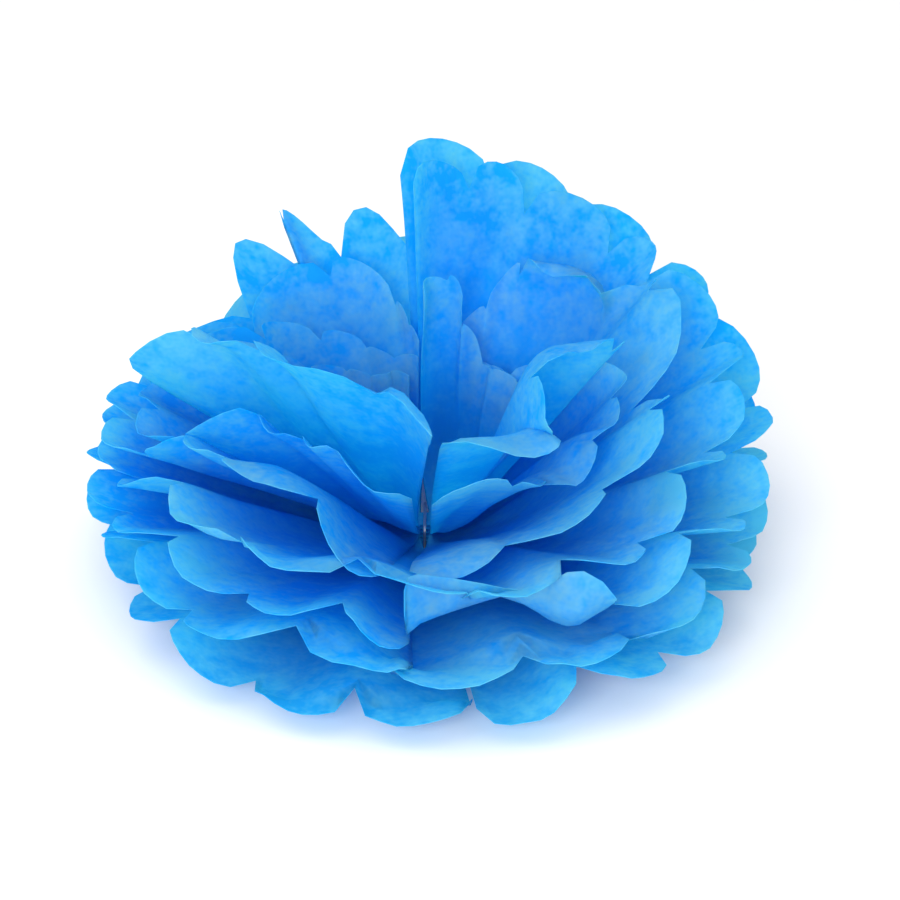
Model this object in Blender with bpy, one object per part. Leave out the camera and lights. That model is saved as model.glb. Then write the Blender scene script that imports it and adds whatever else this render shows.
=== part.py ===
"""Tissue paper pom pom, opened to one side like a flower.

Seven sheets of tissue paper lie in one stack. The stack is folded like a fan into a strip, both
ends of the strip are cut round, and a wire is wrapped round its middle. Each sheet is then opened
into two half fans, one on the right (+X) and one on the left (-X) of the wire. The straight edges
of the two halves meet in a narrow slit, which runs from the front (-Y) to the back (+Y).

Lengths are in metres. The pom pom rests on z = 0 with +Z up, and the origin is at the middle of
its bounding box, on that ground.
"""

import math

import bmesh
import bpy
from mathutils import Vector

# The flat sheet.
SHEETS = 7
PANELS = 11              # panels between the folds, in each half fan
PANEL = 0.034            # width of one panel, the width of the folded strip
LEAF = 0.109             # from the edge of the bundle to the end of a fold line
RISE = 0.030             # a leaf takes this much of its length to bend up to its full lift
SCALLOP = 0.013          # how far the round cut stands out between two fold ends
PAPER = 0.0005           # thickness that stands for the paper and its fine creases

# The stack at the wire. Each sheet lies inside the one below it, like nested bowls.
LAYER = 0.0010           # rise from one sheet to the next
NECK_Y = 0.0094          # half the bundle's width at the lowest sheet
NECK_Y_STEP = 0.0008     # narrower by this much at each sheet
NECK_X = 0.0090          # half the length of the gathered part at the lowest sheet
NECK_X_STEP = 0.0008
SLIT = 0.0016            # half the slit's width at the wire
SLIT_RIM = 0.0005        # half the slit's width at the rim

# The wire.
WIRE = 0.0010            # diameter
WIRE_GAP = 0.0004        # clearance between the wire and the paper
WIRE_BEND = 0.0016       # radius of the loop's corners
WIRE_TAIL = 0.0085       # length of the twisted ends, which lie flat under the lowest sheet
WIRE_MEET = 0.0025       # where each end leaves the loop, from its middle
TWIST_GAP = 0.0002       # clearance between the two twisted ends
TWISTS = 1.5

# How far the pleats are pulled open.
PLEAT_START = 0.012      # the pleats are pressed flat nearer the wire than this

# The half fans that fell open evenly, of sheets 1 to 4 on the right and 1 and 2 on the left, from
# the front round to the back: direction in degrees from the side axis, lift in degrees above the
# ground, and reach, which is 1 for a leaf pulled out straight.
RIGHT = (
    ((-90, 4, 1.0), (-70, 4, 1.0), (-48, 8, 0.97), (-20, 9, 0.84), (0, 8, 0.80), (25, 5, 0.86),
     (60, 1, 0.95), (90, 1, 0.95)),
    ((-90, 9, 1.0), (-70, 9, 1.0), (-45, 14, 0.96), (-15, 16, 0.86), (0, 16, 0.86), (30, 18, 0.95),
     (60, 18, 0.95), (90, 18, 0.95)),
    ((-90, 15, 1.0), (-68, 15, 1.0), (-38, 20, 0.97), (-15, 23, 0.92), (0, 26, 0.94),
     (20, 38, 0.97), (45, 52, 1.0), (70, 64, 1.04), (90, 70, 1.07)),
    ((-90, 20, 1.0), (-80, 21, 1.0), (-60, 23, 0.95), (-30, 30, 0.9), (0, 36, 0.93), (20, 47, 0.95),
     (45, 60, 0.97), (70, 72, 1.0), (90, 78, 1.03)),
)
LEFT = (
    ((-90, 4, 1.0), (-70, 4, 0.97), (-55, 6, 0.93), (-30, 9, 0.82), (0, 8, 0.8), (30, 5, 0.86),
     (60, 1, 0.95), (90, 1, 0.95)),
    ((-90, 9, 1.0), (-70, 10, 0.97), (-55, 12, 0.95), (-25, 16, 0.86), (0, 15, 0.86), (30, 15, 0.85),
     (60, 18, 0.93), (90, 18, 0.95)),
)
# Directions in which the two halves of sheets 1 to 4 meet: degrees to the right of straight
# forwards, and degrees to the left of straight backwards.
SEAM = ((8, 0), (-5, 0), (-1, 12), (6, 10))
# How far the folds of sheets 1 to 4 drift sideways at the rim, in panels, right and left.
DRIFT = ((0.0, 0.1), (0.3, 0.3), (0.0, 0.05), (0.4, 0.35))

# The half fans that were pulled up by hand, by sheet and side, fold by fold from the front round
# to the back: direction and lift in degrees, and reach.
FOLDS = {
    (3, -1): ((-89, 14, 1.0), (-79, 16, 0.97), (-63, 18, 0.95), (-46, 20, 0.93), (-28, 20, 0.90),
              (-10, 18, 0.88), (8, 18, 0.86), (25, 20, 0.85), (42, 26, 0.85), (58, 34, 0.9),
              (73, 38, 0.92), (91, 41, 0.92)),
    (4, -1): ((-96, 19, 0.97), (-78, 22, 0.97), (-60, 25, 0.95), (-41, 27, 0.92), (-22, 25, 0.87),
              (-4, 23, 0.87), (12, 26, 0.86), (36, 45, 0.76), (60, 51, 0.80), (53, 50, 1.0),
              (65, 55, 0.80), (91, 60, 0.76)),
    (5, -1): ((-85, 24, 0.93), (-70, 33, 0.87), (-47, 39, 0.88), (-33, 36, 0.85), (-24, 31, 0.88),
              (-5, 29, 0.88), (10, 31, 0.86), (26, 48, 0.74), (58, 59, 0.80), (79, 70, 0.66),
              (84, 76, 0.60), (89, 82, 0.55)),
    (6, -1): ((-89, 36, 0.8), (-70, 42, 0.82), (-58, 48, 0.75), (-45, 47, 0.8), (-25, 38, 0.8),
              (-8, 35, 0.85), (5, 37, 0.82), (18, 53, 0.7), (34, 64, 0.62), (50, 74, 0.55),
              (68, 79, 0.5), (88, 87, 0.5)),
    (7, -1): ((-89, 45, 0.87), (-72, 53, 0.87), (-34, 62, 0.88), (-16, 52, 0.9), (-1, 42, 0.97),
              (9, 55, 0.7), (20, 63, 0.55), (33, 70, 0.5), (46, 78, 0.45), (56, 81, 0.45),
              (64, 86, 0.45), (71, 91, 0.45)),
    (5, 1): ((-93, 23, 0.93), (-76, 26, 0.88), (-54, 33, 0.88), (-36, 41, 0.93), (-24, 44, 0.78),
             (9, 53, 0.96), (20, 54, 0.86), (48, 67, 0.80), (58, 74, 0.66), (75, 77, 0.58),
             (84, 81, 0.52), (89, 84, 0.50)),
    (6, 1): ((-89, 36, 0.8), (-72, 36, 0.85), (-62, 41, 0.75), (-48, 46, 0.78), (-33, 49, 0.8),
             (-15, 58, 0.7), (0, 62, 0.6), (20, 72, 0.5), (36, 78, 0.5), (56, 81, 0.5),
             (75, 85, 0.5), (89, 88, 0.5)),
    (7, 1): ((-89, 46, 0.87), (-68, 42, 0.87), (-62, 56, 0.90), (-31, 52, 0.90), (-20, 61, 0.65),
             (-5, 68, 0.55), (8, 72, 0.5), (22, 79, 0.5), (36, 83, 0.5), (50, 86, 0.6),
             (62, 89, 0.74), (106, 95, 0.74)),
}

# How deep the pleats stay at the rim, and how far the middle of each panel bulges outwards there,
# for each sheet.
PLEAT_RIM = (0.0040, 0.0045, 0.0035, 0.0035, 0.0020, 0.0020, 0.0020)
CUP = (0.0015, 0.0015, 0.002, 0.0025, 0.003, 0.005, 0.005)

# Distance from the wire of each row of points on a leaf, as a share of its length.
ROWS = (0.0, 0.06, 0.22, 0.46, 0.74, 1.0)
STEPS = 16               # short straight steps that follow a leaf's curve
ARC_STEPS = 60           # steps along a half fan's rim


def station(stations, angle):
    """Lift and reach at a direction, eased between the named directions."""
    if angle <= stations[0][0]:
        return stations[0][1], stations[0][2]
    for near, far in zip(stations, stations[1:]):
        if angle <= far[0]:
            t = (angle - near[0]) / (far[0] - near[0])
            t = t * t * (3.0 - 2.0 * t) * 0.6 + t * 0.4
            return near[1] + (far[1] - near[1]) * t, near[2] + (far[2] - near[2]) * t
    return stations[-1][1], stations[-1][2]


def ramp(value, low, high):
    t = min(max((value - low) / (high - low), 0.0), 1.0)
    return t * t * (3.0 - 2.0 * t)


def spread(sheet, side):
    """Directions of a half fan's points and their distance along the rim, from the front."""
    stations = RIGHT[sheet] if side > 0 else LEFT[sheet]
    close = math.degrees((SLIT - SLIT_RIM) / LEAF)
    front = -90.0 + side * SEAM[sheet][0] - close
    back = 90.0 + side * SEAM[sheet][1] + close
    points = []
    along = 0.0
    before = None
    for n in range(ARC_STEPS + 1):
        direction = front + (back - front) * n / ARC_STEPS
        lift, reach = station(stations, direction)
        tip = Vector((math.cos(math.radians(direction)) * math.cos(math.radians(lift)),
                      math.sin(math.radians(direction)) * math.cos(math.radians(lift)),
                      math.sin(math.radians(lift)))) * reach * (LEAF + NECK_Y)
        if before is not None:
            along += (tip - before).length
        points.append((direction, along))
        before = tip
    return points


def fold_direction(points, share):
    """Direction at a share of the rim's length, so that all panels are equally wide."""
    target = points[-1][1] * share
    for near, far in zip(points, points[1:]):
        if far[1] >= target:
            t = (target - near[1]) / (far[1] - near[1])
            return near[0] + (far[0] - near[0]) * t
    return points[-1][0]


def fold_places(sheet, side):
    """Direction, lift and reach of each fold of a half fan, from the front round to the back."""
    if (sheet + 1, side) in FOLDS:
        return FOLDS[sheet + 1, side]
    stations = RIGHT[sheet] if side > 0 else LEFT[sheet]
    drift = DRIFT[sheet][0 if side > 0 else 1]
    points = spread(sheet, side)
    places = []
    for n in range(PANELS + 1):
        moved = n + drift * ramp(min(n, PANELS - n), 0.0, 1.5)
        direction = fold_direction(points, moved / PANELS)
        places.append((direction,) + station(stations, direction))
    return places


def rim_point(place):
    """Where a fold meets the rim, seen from the neck."""
    direction, lift, reach = place
    return Vector((math.cos(math.radians(direction)) * math.cos(math.radians(lift)),
                   math.sin(math.radians(direction)) * math.cos(math.radians(lift)),
                   math.sin(math.radians(lift)))) * reach * (LEAF + NECK_Y)


def leaf_point(sheet, side, places, row, panel):
    """Where a point of the flat sheet lies. Panel counts the folds from the front."""
    turn = math.pi * (panel / PANELS - 0.5)
    neck_x = NECK_X - NECK_X_STEP * sheet
    neck_y = NECK_Y - NECK_Y_STEP * sheet
    height = LAYER * sheet
    y = neck_y * math.sin(turn)
    if row == 0:
        return Vector((0.0, y, height))
    x = SLIT + (neck_x - SLIT) * math.cos(turn)
    if row == 1:
        return Vector((side * x, y, height))

    # The panel lies between its two folds, which fan out evenly from the neck.
    n = min(int(panel), PANELS - 1)
    within = panel - n
    near, far = places[n], places[n + 1]
    eased = 0.6 * within + 0.4 * ramp(within, 0.0, 1.0)
    rim_direction = near[0] + (far[0] - near[0]) * within
    lift = near[1] + (far[1] - near[1]) * eased
    reach = near[2] + (far[2] - near[2]) * eased
    gathered = places[0][0] + (places[-1][0] - places[0][0]) * panel / PANELS
    share = ROWS[row - 1]
    direction = gathered + (rim_direction - gathered) * ramp(share, 0.0, 0.55)
    scallop = SCALLOP * math.sqrt(max(0.0, 1.0 - (2.0 * within - 1.0) ** 2))
    length = (LEAF + scallop * ramp(share, 0.5, 1.0)) * share * reach

    # Walk out along the leaf. It leaves the bundle flatter than it ends.
    azimuth = math.radians(direction)
    outward = 0.0
    upward = 0.0
    step = length / STEPS
    angle = 0.0
    for k in range(STEPS):
        walked = (k + 0.5) * step
        angle = math.radians(lift) * (0.45 + 0.55 * ramp(walked, 0.0, RISE))
        outward += step * math.cos(angle)
        upward += step * math.sin(angle)

    # The pleat stands off at right angles to the leaf. Its depth follows from how far the
    # panel is pulled open, and the middle of the panel bulges outwards.
    opened = min((rim_point(far) - rim_point(near)).length, PANEL)
    depth = 0.5 * math.sqrt(max(PANEL * PANEL - opened * opened, 0.0))
    grow = max(length - PLEAT_START, 0.0) / (LEAF - PLEAT_START)
    depth = min(depth, PLEAT_RIM[sheet]) * grow
    bulge = CUP[sheet] * grow * grow * math.sin(math.pi * within) ** 2
    stand = -depth * math.cos(math.pi * panel) - bulge
    outward -= stand * math.sin(angle)
    upward += stand * math.cos(angle)
    return Vector((side * (x + outward * math.cos(azimuth)), y + outward * math.sin(azimuth),
                   height + upward))


def paper_material():
    material = bpy.data.materials.new("blue_tissue")
    material.use_nodes = True
    shader = material.node_tree.nodes["Principled BSDF"]
    shader.inputs["Base Color"].default_value = (0.055, 0.32, 0.84, 1.0)
    shader.inputs["Roughness"].default_value = 0.85
    shader.inputs["Metallic"].default_value = 0.0
    return material


def wire_material():
    material = bpy.data.materials.new("binding_wire_metal")
    material.use_nodes = True
    shader = material.node_tree.nodes["Principled BSDF"]
    shader.inputs["Base Color"].default_value = (0.60, 0.61, 0.62, 1.0)
    shader.inputs["Roughness"].default_value = 0.35
    shader.inputs["Metallic"].default_value = 1.0
    return material


def build_sheet(sheet, parent, material):
    """One sheet: a flat grid with two columns a panel, bent into its two half fans."""
    rows = len(ROWS)
    bm = bmesh.new()
    bmesh.ops.create_grid(bm, x_segments=2 * rows, y_segments=2 * PANELS, size=0.5)
    rim = []
    for e in bm.edges:
        if all(abs(abs(v.co.x) - 0.5) < 1e-4 for v in e.verts):
            rim.append(e)
    bmesh.ops.subdivide_edges(bm, edges=rim, cuts=1)
    places = {side: fold_places(sheet, side) for side in (-1, 1)}
    for v in bm.verts:
        column = round((v.co.x + 0.5) * 2 * rows) - rows
        panel = (v.co.y + 0.5) * PANELS
        panel = round(panel * 4.0) / 4.0
        side = -1 if column < 0 else 1
        v.co = leaf_point(sheet, side, places[side], abs(column), panel)
    bmesh.ops.triangulate(bm, faces=bm.faces[:])
    bmesh.ops.recalc_face_normals(bm, faces=bm.faces[:])
    if sum(f.normal.z for f in bm.faces) < 0:
        bmesh.ops.reverse_faces(bm, faces=bm.faces[:])
    mesh = bpy.data.meshes.new("tissue_sheet_%d" % (sheet + 1))
    bm.to_mesh(mesh)
    bm.free()
    mesh.shade_smooth()
    mesh.materials.append(material)
    obj = bpy.data.objects.new(mesh.name, mesh)
    bpy.context.scene.collection.objects.link(obj)
    obj.parent = parent
    solid = obj.modifiers.new("paper", "SOLIDIFY")
    solid.thickness = PAPER
    solid.offset = 0.0
    return obj


def wire_path():
    """Middle line of the wire: one end, the loop round the bundle, and the other end."""
    radius = WIRE / 2.0
    half = NECK_Y + WIRE_GAP + radius
    low = -PAPER / 2.0 - WIRE_GAP - radius
    high = LAYER * (SHEETS - 1) + PAPER / 2.0 + WIRE_GAP + radius
    coil = radius + TWIST_GAP / 2.0
    strands = []
    for start in (0.0, math.pi):
        strand = []
        for n in range(13):
            a = start + 2.0 * math.pi * TWISTS * n / 12.0
            strand.append(Vector((WIRE_MEET + WIRE_TAIL * n / 12.0, coil * math.cos(a),
                                  low - coil + coil * math.sin(a))))
        strands.append(strand)
    path = list(reversed(strands[0]))
    path.append(Vector((0.0, WIRE_MEET, low)))
    for cy, cz, start, sign in ((half, low, 270, 1), (half, high, 0, 1), (-half, high, 90, 1),
                                (-half, low, 180, 1)):
        for n in range(4):
            a = math.radians(start + 30.0 * n)
            inset_y = math.copysign(WIRE_BEND, cy)
            inset_z = WIRE_BEND if cz == high else -WIRE_BEND
            path.append(Vector((0.0, cy - inset_y + WIRE_BEND * math.cos(a),
                                cz - inset_z + WIRE_BEND * math.sin(a))))
    path.append(Vector((0.0, -WIRE_MEET, low)))
    path.extend(strands[1])
    return path


def build_wire(parent, material):
    """The wire: one loop round the bundle between the two half fans, and its twisted ends."""
    path = wire_path()
    curve = bpy.data.curves.new("binding_wire", "CURVE")
    curve.dimensions = "3D"
    spline = curve.splines.new("POLY")
    spline.points.add(len(path) - 1)
    for point, co in zip(spline.points, path):
        point.co = (co.x, co.y, co.z, 1.0)
    curve.bevel_depth = WIRE / 2.0
    curve.bevel_resolution = 2
    curve.use_fill_caps = True
    curve.materials.append(material)
    obj = bpy.data.objects.new("binding_wire", curve)
    bpy.context.scene.collection.objects.link(obj)
    obj.parent = parent
    return obj


def build():
    for obj in list(bpy.data.objects):
        bpy.data.objects.remove(obj)
    pom = bpy.data.objects.new("pom_pom", None)
    bpy.context.scene.collection.objects.link(pom)
    paper = paper_material()
    metal = wire_material()
    for sheet in range(SHEETS):
        build_sheet(sheet, pom, paper)
    build_wire(pom, metal)
    bpy.context.view_layer.update()

    # Set the whole pom pom down on the ground, centred on the origin.
    low = Vector((1e9, 1e9, 1e9))
    high = -low
    graph = bpy.context.evaluated_depsgraph_get()
    for obj in pom.children:
        shown = obj.evaluated_get(graph)
        mesh = shown.to_mesh()
        for v in mesh.vertices:
            p = shown.matrix_world @ v.co
            low = Vector((min(low.x, p.x), min(low.y, p.y), min(low.z, p.z)))
            high = Vector((max(high.x, p.x), max(high.y, p.y), max(high.z, p.z)))
        shown.to_mesh_clear()
    pom.location = (-(low.x + high.x) / 2.0, -(low.y + high.y) / 2.0, -low.z)
    bpy.context.view_layer.update()


build()
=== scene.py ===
"""Tissue paper pom pom, opened to one side like a flower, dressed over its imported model."""

import math
import random

import bmesh
import bpy
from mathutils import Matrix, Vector, noise


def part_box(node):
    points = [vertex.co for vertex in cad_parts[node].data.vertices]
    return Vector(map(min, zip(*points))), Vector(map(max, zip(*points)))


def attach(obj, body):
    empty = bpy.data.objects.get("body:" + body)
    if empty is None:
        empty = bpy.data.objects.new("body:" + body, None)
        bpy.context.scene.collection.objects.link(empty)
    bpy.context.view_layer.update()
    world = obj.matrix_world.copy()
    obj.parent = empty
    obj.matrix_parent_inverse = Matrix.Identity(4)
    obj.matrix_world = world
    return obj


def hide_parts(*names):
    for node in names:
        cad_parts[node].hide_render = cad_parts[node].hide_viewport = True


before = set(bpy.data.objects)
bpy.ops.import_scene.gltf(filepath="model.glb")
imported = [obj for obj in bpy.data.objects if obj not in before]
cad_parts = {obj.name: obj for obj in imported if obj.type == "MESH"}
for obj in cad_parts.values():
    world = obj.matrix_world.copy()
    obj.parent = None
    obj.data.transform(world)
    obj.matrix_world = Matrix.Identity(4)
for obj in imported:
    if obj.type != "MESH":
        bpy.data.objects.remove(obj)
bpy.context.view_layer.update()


# The tissue sheets. Seven sheets of thin dyed tissue, folded together like a fan, cut round at
# both ends and gathered by a wire. Each was then pulled apart by hand into two half fans of
# leaves, so every panel is cupped a little differently and keeps its soft folds.

SHEETS = 7
PANELS = 11
PANEL = 0.034
LEAF = 0.109
RISE = 0.030
SCALLOP = 0.013
PAPER = 0.00016

LAYER = 0.0010
NECK_Y = 0.0094
NECK_Y_STEP = 0.0008
NECK_X = 0.0090
NECK_X_STEP = 0.0008
SLIT = 0.0016
SLIT_RIM = 0.0005
SOLID_PAPER = 0.0005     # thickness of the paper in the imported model
WIRE = 0.0010
WIRE_GAP = 0.0004
WIRE_TOP = LAYER * (SHEETS - 1) + SOLID_PAPER / 2.0 + WIRE_GAP + WIRE

PLEAT_START = 0.012
DENT = 0.0026            # broad dents of a leaf, at the rim
FINE_DENT = 0.0008       # the smaller dents over them
COLUMNS = 8              # columns of faces in a panel
ROWS = 40                # rows of faces in a leaf, the last of them narrow, for a crisp cut edge
LAST_ROW = 0.997         # where that last row begins, as a share of the leaf
ARC_STEPS = 60           # steps along a half fan's rim

# The half fans that fell open evenly, of sheets 1 to 4 on the right and 1 and 2 on the left, from
# the front round to the back: direction and lift in degrees, and reach.
RIGHT = (
    ((-90, 4, 1.0), (-70, 4, 1.0), (-48, 8, 0.97), (-20, 9, 0.84), (0, 8, 0.80), (25, 5, 0.86),
     (60, 1, 0.95), (90, 1, 0.95)),
    ((-90, 9, 1.0), (-70, 9, 1.0), (-45, 14, 0.96), (-15, 16, 0.86), (0, 16, 0.86), (30, 18, 0.95),
     (60, 18, 0.95), (90, 18, 0.95)),
    ((-90, 15, 1.0), (-68, 15, 1.0), (-38, 20, 0.97), (-15, 23, 0.92), (0, 26, 0.94),
     (20, 38, 0.97), (45, 52, 1.0), (70, 64, 1.04), (90, 70, 1.07)),
    ((-90, 20, 1.0), (-80, 21, 1.0), (-60, 23, 0.95), (-30, 30, 0.9), (0, 36, 0.93), (20, 47, 0.95),
     (45, 60, 0.97), (70, 72, 1.0), (90, 78, 1.03)),
)
LEFT = (
    ((-90, 4, 1.0), (-70, 4, 0.97), (-55, 6, 0.93), (-30, 9, 0.82), (0, 8, 0.8), (30, 5, 0.86),
     (60, 1, 0.95), (90, 1, 0.95)),
    ((-90, 9, 1.0), (-70, 10, 0.97), (-55, 12, 0.95), (-25, 16, 0.86), (0, 15, 0.86), (30, 15, 0.85),
     (60, 18, 0.93), (90, 18, 0.95)),
)

# Where the two halves of sheets 1 to 4 meet, in degrees: to the right of straight forwards, and to
# the left of straight backwards. Then how far their folds drift sideways at the rim, in panels.
SEAM = ((8, 0), (-5, 0), (-1, 12), (6, 10))
DRIFT = ((0.0, 0.1), (0.3, 0.3), (0.0, 0.05), (0.4, 0.35))

# For each sheet: how deep the pleats stay at the rim, how far the middle of each panel bulges out
# there, and how far lift (degrees) and reach vary from fold to fold.
PLEAT_RIM = (0.0040, 0.0045, 0.0035, 0.0035, 0.0020, 0.0020, 0.0020)
CUP = (0.0015, 0.0015, 0.002, 0.0025, 0.003, 0.005, 0.005)
LIFT_WANDER = (0.8, 1.0, 1.0, 1.0, 1.0, 1.0, 1.0)
REACH_WANDER = (0.015, 0.015, 0.01, 0.01, 0.01, 0.015, 0.015)

# The half fans that were pulled up by hand, by sheet and side, fold by fold from the front round
# to the back: direction and lift in degrees, and reach.
FOLDS = {
    (3, -1): ((-89, 14, 1.0), (-79, 16, 0.97), (-63, 18, 0.95), (-46, 20, 0.93), (-28, 20, 0.90),
              (-10, 18, 0.88), (8, 18, 0.86), (25, 20, 0.85), (42, 26, 0.85), (58, 34, 0.9),
              (73, 38, 0.92), (91, 41, 0.92)),
    (4, -1): ((-96, 19, 0.97), (-78, 22, 0.97), (-60, 25, 0.95), (-41, 27, 0.92), (-22, 25, 0.87),
              (-4, 23, 0.87), (12, 26, 0.86), (36, 45, 0.76), (60, 51, 0.80), (53, 50, 1.0),
              (65, 55, 0.80), (91, 60, 0.76)),
    (5, -1): ((-85, 24, 0.93), (-70, 33, 0.87), (-47, 39, 0.88), (-33, 36, 0.85), (-24, 31, 0.88),
              (-5, 29, 0.88), (10, 31, 0.86), (26, 48, 0.74), (58, 59, 0.80), (79, 70, 0.66),
              (84, 76, 0.60), (89, 82, 0.55)),
    (6, -1): ((-89, 36, 0.8), (-70, 42, 0.82), (-58, 48, 0.75), (-45, 47, 0.8), (-25, 38, 0.8),
              (-8, 35, 0.85), (5, 37, 0.82), (18, 53, 0.7), (34, 64, 0.62), (50, 74, 0.55),
              (68, 79, 0.5), (88, 87, 0.5)),
    (7, -1): ((-89, 45, 0.87), (-72, 53, 0.87), (-34, 62, 0.88), (-16, 52, 0.9), (-1, 42, 0.97),
              (9, 55, 0.7), (20, 63, 0.55), (33, 70, 0.5), (46, 78, 0.45), (56, 81, 0.45),
              (64, 86, 0.45), (71, 91, 0.45)),
    (5, 1): ((-93, 23, 0.93), (-76, 26, 0.88), (-54, 33, 0.88), (-36, 41, 0.93), (-24, 44, 0.78),
             (9, 53, 0.96), (20, 54, 0.86), (48, 67, 0.80), (58, 74, 0.66), (75, 77, 0.58),
             (84, 81, 0.52), (89, 84, 0.50)),
    (6, 1): ((-89, 36, 0.8), (-72, 36, 0.85), (-62, 41, 0.75), (-48, 46, 0.78), (-33, 49, 0.8),
             (-15, 58, 0.7), (0, 62, 0.6), (20, 72, 0.5), (36, 78, 0.5), (56, 81, 0.5),
             (75, 85, 0.5), (89, 88, 0.5)),
    (7, 1): ((-89, 46, 0.87), (-68, 42, 0.87), (-62, 56, 0.90), (-31, 52, 0.90), (-20, 61, 0.65),
             (-5, 68, 0.55), (8, 72, 0.5), (22, 79, 0.5), (36, 83, 0.5), (50, 86, 0.6),
             (62, 89, 0.74), (106, 95, 0.74)),
}

# Leaves whose outer part was bent by hand: sheet, side, middle and half width in panels, then
# lift and sideways turn in degrees, reach, curl in degrees (up is positive) and where it starts.
PULLED = (
    (2, -1, 0.5, 1.0, 1.5, -8, 1.0, 0, 0.8),
    (3, 1, 0.5, 0.7, 0, -8, 1.0, 125, 0.86),
    (3, 1, 1.5, 0.6, -3, 0, 1.0, 120, 0.86),
    (4, -1, 0.5, 1.0, 1.5, -6, 1.0, 0, 0.8),
    (4, -1, 7.4, 0.6, 0, 0, 1.2, 0, 0.8),
    (4, -1, 10.3, 0.6, 0, 0, 1.15, 0, 0.8),
    (5, -1, 0.5, 0.8, 3, 0, 1.0, -16, 0.45),
    (5, -1, 1.5, 0.7, 5, 0, 1.0, -40, 0.82),
    (5, -1, 4.5, 1.6, -2, -2, 1.0, 0, 0.8),
    (5, 1, 0.5, 0.7, 3, 0, 1.0, -36, 0.82),
    (5, 1, 6.4, 0.7, 0, 0, 1.0, 150, 0.88),
    (6, -1, 4.5, 1.6, -3, -3, 1.0, 0, 0.8),
    (6, 1, 0.5, 0.6, 4, 0, 1.0, 0, 0.8),
    (6, 1, 2.6, 1.4, 0, 0, 1.05, -50, 0.75),
    (7, -1, 0.6, 1.0, 4, -12, 1.07, -55, 0.84),
    (7, -1, 2.2, 1.2, 0, 0, 1.0, -40, 0.80),
    (7, -1, 4.4, 1.8, -8, 0, 0.92, 0, 0.80),
    (7, 1, 0.6, 0.9, 4, 10, 1.06, -60, 0.78),
    (7, 1, 2.5, 0.7, 11, 0, 1.0, -60, 0.80),
    (7, 1, 11.0, 2.0, 0, 16, 1.0, 0, 0.8),
)

# The middle of the gathered bundle, where the wire holds it.
wire_low, wire_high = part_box("binding_wire")
tie = Vector((wire_low.x + WIRE / 2.0, (wire_low.y + wire_high.y) / 2.0, wire_high.z - WIRE_TOP))


def ramp(value, low, high):
    t = min(max((value - low) / (high - low), 0.0), 1.0)
    return t * t * (3.0 - 2.0 * t)


def station(stations, angle):
    """Lift and reach at a direction, eased between the named directions."""
    if angle <= stations[0][0]:
        return stations[0][1], stations[0][2]
    for near, far in zip(stations, stations[1:]):
        if angle <= far[0]:
            t = (angle - near[0]) / (far[0] - near[0])
            t = t * t * (3.0 - 2.0 * t) * 0.6 + t * 0.4
            return near[1] + (far[1] - near[1]) * t, near[2] + (far[2] - near[2]) * t
    return stations[-1][1], stations[-1][2]


def rim_point(place):
    """Where a fold meets the rim, seen from the neck."""
    direction, lift, reach = place
    return Vector((math.cos(math.radians(direction)) * math.cos(math.radians(lift)),
                   math.sin(math.radians(direction)) * math.cos(math.radians(lift)),
                   math.sin(math.radians(lift)))) * reach * (LEAF + NECK_Y)


def spread(sheet, side):
    """Directions of a half fan's points and their distance along the rim, from the front."""
    stations = RIGHT[sheet] if side > 0 else LEFT[sheet]
    close = math.degrees((SLIT - SLIT_RIM) / LEAF)
    front = -90.0 + side * SEAM[sheet][0] - close
    back = 90.0 + side * SEAM[sheet][1] + close
    points = []
    along = 0.0
    before = None
    for n in range(ARC_STEPS + 1):
        direction = front + (back - front) * n / ARC_STEPS
        tip = rim_point((direction,) + station(stations, direction))
        if before is not None:
            along += (tip - before).length
        points.append((direction, along))
        before = tip
    return points


def fold_direction(points, share):
    """Direction at a share of the rim's length, so that all panels are equally wide."""
    target = points[-1][1] * share
    for near, far in zip(points, points[1:]):
        if far[1] >= target:
            t = (target - near[1]) / (far[1] - near[1])
            return near[0] + (far[0] - near[0]) * t
    return points[-1][0]


def even_folds(sheet, side):
    """Direction, lift and reach of each fold of a half fan that fell open evenly."""
    stations = RIGHT[sheet] if side > 0 else LEFT[sheet]
    drift = DRIFT[sheet][0 if side > 0 else 1]
    points = spread(sheet, side)
    folds = []
    for n in range(PANELS + 1):
        moved = n + drift * ramp(min(n, PANELS - n), 0.0, 1.5)
        direction = fold_direction(points, moved / PANELS)
        folds.append((direction,) + station(stations, direction))
    return folds


def fold_places(sheet, side):
    """Direction, lift and reach of each fold of a half fan, from the front round to the back."""
    folds = FOLDS[sheet + 1, side] if (sheet + 1, side) in FOLDS else even_folds(sheet, side)
    luck = random.Random(31 * sheet + side + 4)
    places = []
    for direction, lift, reach in folds:
        lift += LIFT_WANDER[sheet] * luck.uniform(-1, 1)
        reach *= 1.0 + REACH_WANDER[sheet] * luck.uniform(-1, 1)
        places.append((direction, lift, reach))
    return places


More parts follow.
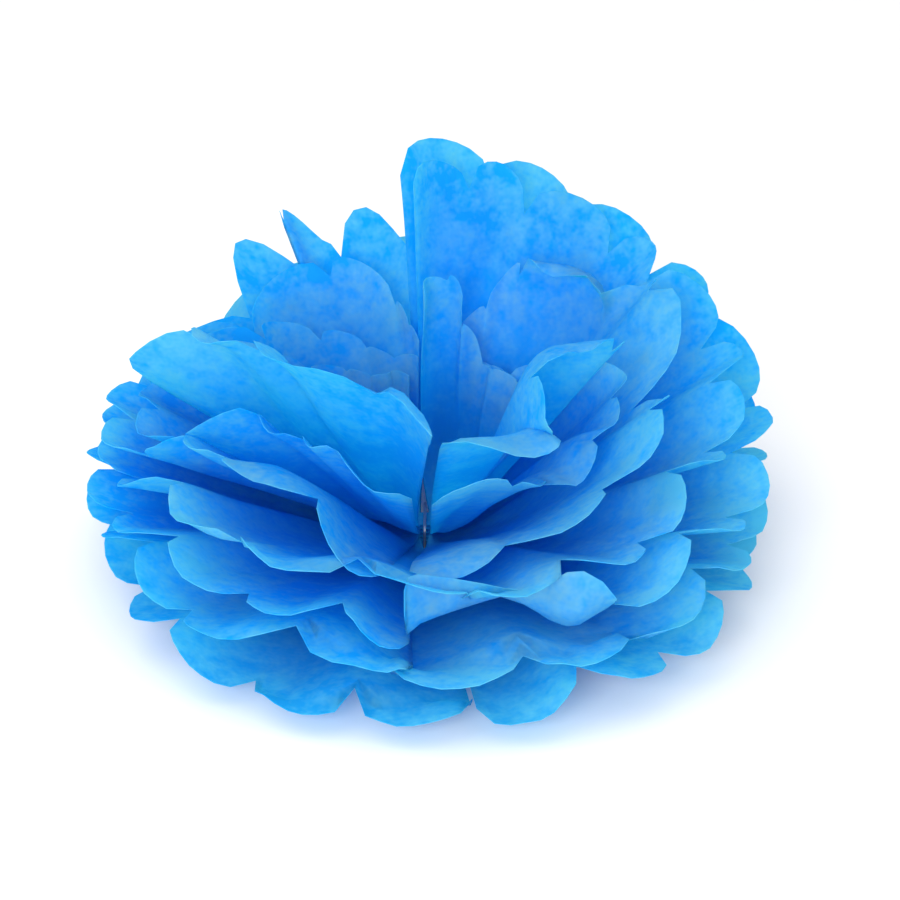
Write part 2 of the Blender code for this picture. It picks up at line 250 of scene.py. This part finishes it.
def leaf_line(sheet, side, places, panel):
    """One line of the sheet, from the wire to the rim, as points. Panel counts the folds."""
    turn = math.pi * (panel / PANELS - 0.5)
    height = LAYER * sheet
    y = (NECK_Y - NECK_Y_STEP * sheet) * math.sin(turn)
    x = SLIT + (NECK_X - NECK_X_STEP * sheet - SLIT) * math.cos(turn)
    line = [Vector((0.0, y, height)), Vector((side * x, y, height))]

    n = min(int(panel), PANELS - 1)
    within = panel - n
    near, far = places[n], places[n + 1]
    eased = 0.6 * within + 0.4 * ramp(within, 0.0, 1.0)
    rim_direction, lift, reach = (near[k] + (far[k] - near[k]) * (within if k == 0 else eased)
                                  for k in range(3))
    gathered = places[0][0] + (places[-1][0] - places[0][0]) * panel / PANELS
    width = min((rim_point(far) - rim_point(near)).length, PANEL)
    round_end = math.sqrt(max(0.0, 1.0 - (2.0 * within - 1.0) ** 2))
    scallop = SCALLOP * ramp(width / PANEL, 0.1, 0.8)

    sway = 0.0
    curls = []
    for one, way, middle, half, more_lift, turned, more_reach, curl, begins in PULLED:
        if one == sheet + 1 and way == side and abs(panel - middle) < half:
            weight = math.cos(0.5 * math.pi * (panel - middle) / half) ** 2
            lift += more_lift * weight
            sway += turned * weight
            reach *= 1.0 + (more_reach - 1.0) * weight
            curls.append((curl * weight, begins))

    outward = 0.0
    upward = 0.0
    before = 0.0
    for row in range(2, ROWS + 1):
        share = LAST_ROW * (row - 1) / (ROWS - 2) if row < ROWS else 1.0
        direction = gathered + (rim_direction - gathered) * ramp(share, 0.0, 0.55)
        direction += sway * ramp(share, 0.1, 1.0)
        length = (LEAF + scallop * round_end * ramp(share, 0.5, 1.0)) * share * reach
        step = length - before
        before = length
        angle = math.radians(lift) * (0.45 + 0.55 * ramp(length, 0.0, RISE))
        for curl, begins in curls:
            angle += math.radians(curl) * ramp(share, begins, 1.0)
        outward += step * math.cos(angle)
        upward += step * math.sin(angle)

        # Pleats, crisp near the bundle and soft at the rim, with fine creases and soft dents.
        pitch = width * (length + NECK_Y) / (LEAF + NECK_Y)
        depth = 0.5 * math.sqrt(max(PANEL * PANEL - pitch * pitch, 0.0))
        grow = max(length - PLEAT_START, 0.0) / (LEAF - PLEAT_START)
        depth = min(depth, PLEAT_RIM[sheet] * min(grow, 1.1))
        soft_wave = math.cos(math.pi * panel)
        sharp_wave = math.asin(max(-1.0, min(1.0, soft_wave))) * 2.0 / math.pi
        wave = soft_wave + (sharp_wave - soft_wave) * (1.0 - 0.85 * ramp(share, 0.2, 0.85))
        bulge = CUP[sheet] * grow * grow * math.sin(math.pi * within) ** 2
        spot = Vector((panel * 1.1, share * 2.6, 3.7 * sheet + 11.0 * side))
        dents = DENT * grow * noise.noise(spot)
        spot = Vector((panel * 6.0, share * 4.0, 5.1 * sheet + 17.0 * side))
        dents += FINE_DENT * grow * noise.noise(spot)
        stand = -depth * wave - bulge + dents

        azimuth = math.radians(direction)
        out = outward - stand * math.sin(angle)
        line.append(Vector((side * (x + out * math.cos(azimuth)), y + out * math.sin(azimuth),
                            height + upward + stand * math.cos(angle))))
    return line


def tissue_sheet(sheet, material):
    """One sheet: a flat grid of faces, bent into its two half fans."""
    bm = bmesh.new()
    bmesh.ops.create_grid(bm, x_segments=2 * ROWS, y_segments=COLUMNS * PANELS, size=0.5)
    places = {side: fold_places(sheet, side) for side in (-1, 1)}
    lines = {}
    rim = bm.verts.layers.float.new("rim")
    for v in bm.verts:
        column = round((v.co.x + 0.5) * 2 * ROWS) - ROWS
        step = round((v.co.y + 0.5) * COLUMNS * PANELS)
        side = -1 if column < 0 else 1
        if (side, step) not in lines:
            lines[side, step] = leaf_line(sheet, side, places[side], step / COLUMNS)
        # The rim value is a mask for painted light, paling the leaf towards its cut edge.
        v[rim] = ramp(abs(column) / ROWS, 0.55, 1.0)
        v.co = lines[side, step][abs(column)] + tie
    for f in bm.faces:
        f.smooth = True
    bmesh.ops.recalc_face_normals(bm, faces=bm.faces[:])
    if sum(f.normal.z for f in bm.faces) < 0:
        bmesh.ops.reverse_faces(bm, faces=bm.faces[:])
    mesh = bpy.data.meshes.new("tissue_leaves_%d" % (sheet + 1))
    bm.to_mesh(mesh)
    bm.free()
    mesh.materials.append(material)
    obj = bpy.data.objects.new(mesh.name, mesh)
    bpy.context.scene.collection.objects.link(obj)
    solid = obj.modifiers.new("paper", "SOLIDIFY")
    solid.thickness = PAPER
    solid.offset = 0.0
    return obj


class Shade:
    """A socket of a material, so that shader maths reads as plain expressions."""

    def __init__(self, tree, socket):
        self.tree = tree
        self.socket = socket

    def add(self, kind, settings=None, output=0, **inputs):
        node = self.tree.nodes.new(kind)
        for name, value in (settings or {}).items():
            setattr(node, name, value)
        for name, value in inputs.items():
            numbered = name.startswith("in") and name[2:].isdigit()
            key = int(name[2:]) if numbered else name.replace("_", " ")
            if isinstance(value, Shade):
                self.tree.links.new(value.socket, node.inputs[key])
            else:
                node.inputs[key].default_value = value
        return Shade(self.tree, node.outputs[output])

    def _math(self, operation, a, b):
        return self.add("ShaderNodeMath", {"operation": operation}, in0=a, in1=b)

    def __add__(self, other):
        return self._math("ADD", self, other)

    __radd__ = __add__

    def __mul__(self, other):
        return self._math("MULTIPLY", self, other)

    __rmul__ = __mul__

    def __sub__(self, other):
        return self._math("SUBTRACT", self, other)

    def __rsub__(self, other):
        return self._math("SUBTRACT", other, self)

    def size(self):
        """The value without its sign."""
        return self._math("ABSOLUTE", self, 0.0)

    def kept(self, low, high):
        return self.add("ShaderNodeClamp", Value=self, Min=low, Max=high)

    def mix(self, first, second):
        """A colour between two, by this value."""
        return self.add("ShaderNodeMix", {"data_type": "RGBA"}, output=2, in0=self, in6=first,
                        in7=second)

    def into(self, socket):
        self.tree.links.new(self.socket, socket)


def new_material(name):
    material = bpy.data.materials.new(name)
    material.use_nodes = True
    tree = material.node_tree
    place = Shade(tree, tree.nodes.new("ShaderNodeTexCoord").outputs["Object"])
    return material, tree.nodes["Principled BSDF"], place


def tissue_paper():
    """Thin dyed tissue, cloudy and fibrous, with painted light paling the cut rims; light shines
    through.
    """
    material, shader, place = new_material("blue_tissue_paper")

    # Clouds and specks of undyed fibre, patches of painted light; the rim value grows towards the
    # cut edge.
    cloud = place.add("ShaderNodeTexNoise", Vector=place, Scale=42.0, Detail=4.0, Roughness=0.72)
    patch = place.add("ShaderNodeTexNoise", Vector=place, Scale=13.0, Detail=1.0, Roughness=0.6)
    fibre = place.add("ShaderNodeTexNoise", Vector=place, Scale=520.0, Detail=1.0, Roughness=0.7)
    rim = place.add("ShaderNodeAttribute", {"attribute_name": "rim"}, output=2)
    specks = place.add("ShaderNodeTexNoise", Vector=place, Scale=190.0, Detail=2.0, Roughness=0.8)
    pale = ((cloud - 0.42) * 3.6 + (specks - 0.5) * 1.8 + (fibre - 0.5) * 1.0).kept(0.0, 1.0)
    marks = (cloud - 0.5) * 2.6 + (specks - 0.5) * 1.6
    # Painted light: rims painted paler, as where light shines through one layer, mottled by the
    # fibre.
    rim_light_and_mottle = rim * (patch * 1.8 - 0.35) + marks * (0.15 + rim * 0.85)

    # Painted shade dulls the leaves near the ground; painted light pales them all towards the rim.
    height = place.add("ShaderNodeSeparateXYZ", Vector=place, output=2)
    # Painted shade: a darker, duller blue near the floor, stronger towards the rims.
    low = ((0.026 - height) * 40.0).kept(0.0, 1.0) * (0.3 + rim * 0.5)
    body = pale.mix((0.008, 0.46, 0.93, 1.0), (0.05, 0.60, 0.95, 1.0))
    body_in_floor_shade = low.mix(body, (0.06, 0.40, 0.66, 1.0))
    # The pale cyan is painted light at the rims, laid over the dyed body.
    colour = rim_light_and_mottle.kept(0.0, 1.0).mix(body_in_floor_shade, (0.30, 0.68, 0.80, 1.0))
    colour.into(shader.inputs["Base Color"])
    (0.72 + cloud * 0.2).into(shader.inputs["Roughness"])
    shader.inputs["Specular IOR Level"].default_value = 0.22

    # Fine creases, and the blue light that comes through the thin paper.
    wrinkles = place.add("ShaderNodeTexNoise", Vector=place, Scale=30.0, Detail=1.0, Roughness=0.5)
    crease = (wrinkles - 0.5).size()
    crumple = cloud * 0.6 + fibre * 0.35 + (crease * 9.0).kept(0.0, 1.0) * 0.8
    bump = crumple.add("ShaderNodeBump", Height=crumple, Strength=0.6, Distance=0.0008)
    bump.into(shader.inputs["Normal"])
    glow = colour.add("ShaderNodeMix", {"data_type": "RGBA"}, output=2, in0=0.6, in6=colour,
                      in7=(0.03, 0.80, 1.0, 1.0))
    through = glow.add("ShaderNodeBsdfTranslucent", Color=glow)
    share = (0.72 + (cloud - 0.5) * 0.5).kept(0.45, 0.9)
    mixed = share.add("ShaderNodeMixShader", in0=share, in1=Shade(share.tree, shader.outputs[0]),
                      in2=through)
    mixed.into(material.node_tree.nodes["Material Output"].inputs["Surface"])
    return material


tissue = tissue_paper()
for sheet in range(SHEETS):
    leaves = tissue_sheet(sheet, tissue)
    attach(leaves, "root")
    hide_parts("tissue_sheet_%d" % (sheet + 1))


# The binding wire. Bare steel wire, bent into a loop over the bundle and twisted under it.


def bare_wire():
    material, shader, place = new_material("bare_steel_wire")
    drawn = place.add("ShaderNodeTexNoise", Vector=place, Scale=900.0, Detail=3.0, Roughness=0.6)
    drawn.mix((0.50, 0.51, 0.53, 1.0), (0.68, 0.69, 0.70, 1.0)).into(shader.inputs["Base Color"])
    (0.28 + drawn * 0.2).into(shader.inputs["Roughness"])
    shader.inputs["Metallic"].default_value = 1.0
    bump = drawn.add("ShaderNodeBump", Height=drawn, Strength=0.2, Distance=0.0001)
    bump.into(shader.inputs["Normal"])
    return material


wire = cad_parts["binding_wire"]
wire.data.materials.clear()
wire.data.materials.append(bare_wire())


# The floor, which is plain white paper, and soft light from all round.

bm = bmesh.new()
bmesh.ops.create_grid(bm, x_segments=1, y_segments=1, size=4.0)
floor_mesh = bpy.data.meshes.new("studio_floor")
bm.to_mesh(floor_mesh)
bm.free()
floor = bpy.data.objects.new("studio_floor", floor_mesh)
bpy.context.scene.collection.objects.link(floor)
white = bpy.data.materials.new("studio_white")
white.use_nodes = True
white.node_tree.nodes["Principled BSDF"].inputs["Base Color"].default_value = (0.9, 0.9, 0.9, 1.0)
white.node_tree.nodes["Principled BSDF"].inputs["Roughness"].default_value = 0.9
floor_mesh.materials.append(white)

world = bpy.data.worlds.new("studio")
world.use_nodes = True
world.node_tree.nodes["Background"].inputs["Color"].default_value = (1.0, 1.0, 1.0, 1.0)
world.node_tree.nodes["Background"].inputs["Strength"].default_value = 1.0
bpy.context.scene.world = world

for name, energy, size, place in (("overhead_softbox", 2.5, 1.0, (-0.35, -0.15, 1.0)),
                                  ("front_softbox", 9.0, 0.5, (-0.20, -1.05, 0.42))):
    lamp = bpy.data.objects.new(name, bpy.data.lights.new(name, "AREA"))
    lamp.data.energy = energy
    lamp.data.size = size
    lamp.location = place
    lamp.rotation_euler = (tie - lamp.location).to_track_quat("-Z", "Y").to_euler()
    bpy.context.scene.collection.objects.link(lamp)


# The camera looks down on the flower from the front, as in the photograph.

ELEVATION = math.radians(25.0)
DISTANCE = 0.85
PICTURE = 900.0          # width and height of the picture, in pixels
TIE_ACROSS = 425.0       # where the middle of the bundle stands in it
TIE_DOWN = 535.0
SENSOR = 36.0
PIXELS_PER_METRE = 3040.0
FOCAL = PIXELS_PER_METRE * DISTANCE
forward = Vector((0.0, math.cos(ELEVATION), -math.sin(ELEVATION)))
upwards = Vector((0.0, math.sin(ELEVATION), math.cos(ELEVATION)))
to_tie = (forward + Vector((1.0, 0.0, 0.0)) * ((TIE_ACROSS - PICTURE / 2.0) / FOCAL)
          - upwards * ((TIE_DOWN - PICTURE / 2.0) / FOCAL))
lens = bpy.data.cameras.new("camera")
lens.sensor_width = SENSOR
lens.lens = SENSOR * FOCAL / PICTURE
lens.clip_start = 0.01
camera = bpy.data.objects.new("camera", lens)
bpy.context.scene.collection.objects.link(camera)
camera.location = tie - to_tie * DISTANCE
camera.rotation_euler = (math.pi / 2.0 - ELEVATION, 0.0, 0.0)
bpy.context.scene.camera = camera
bpy.context.scene.view_settings.view_transform = "Standard"
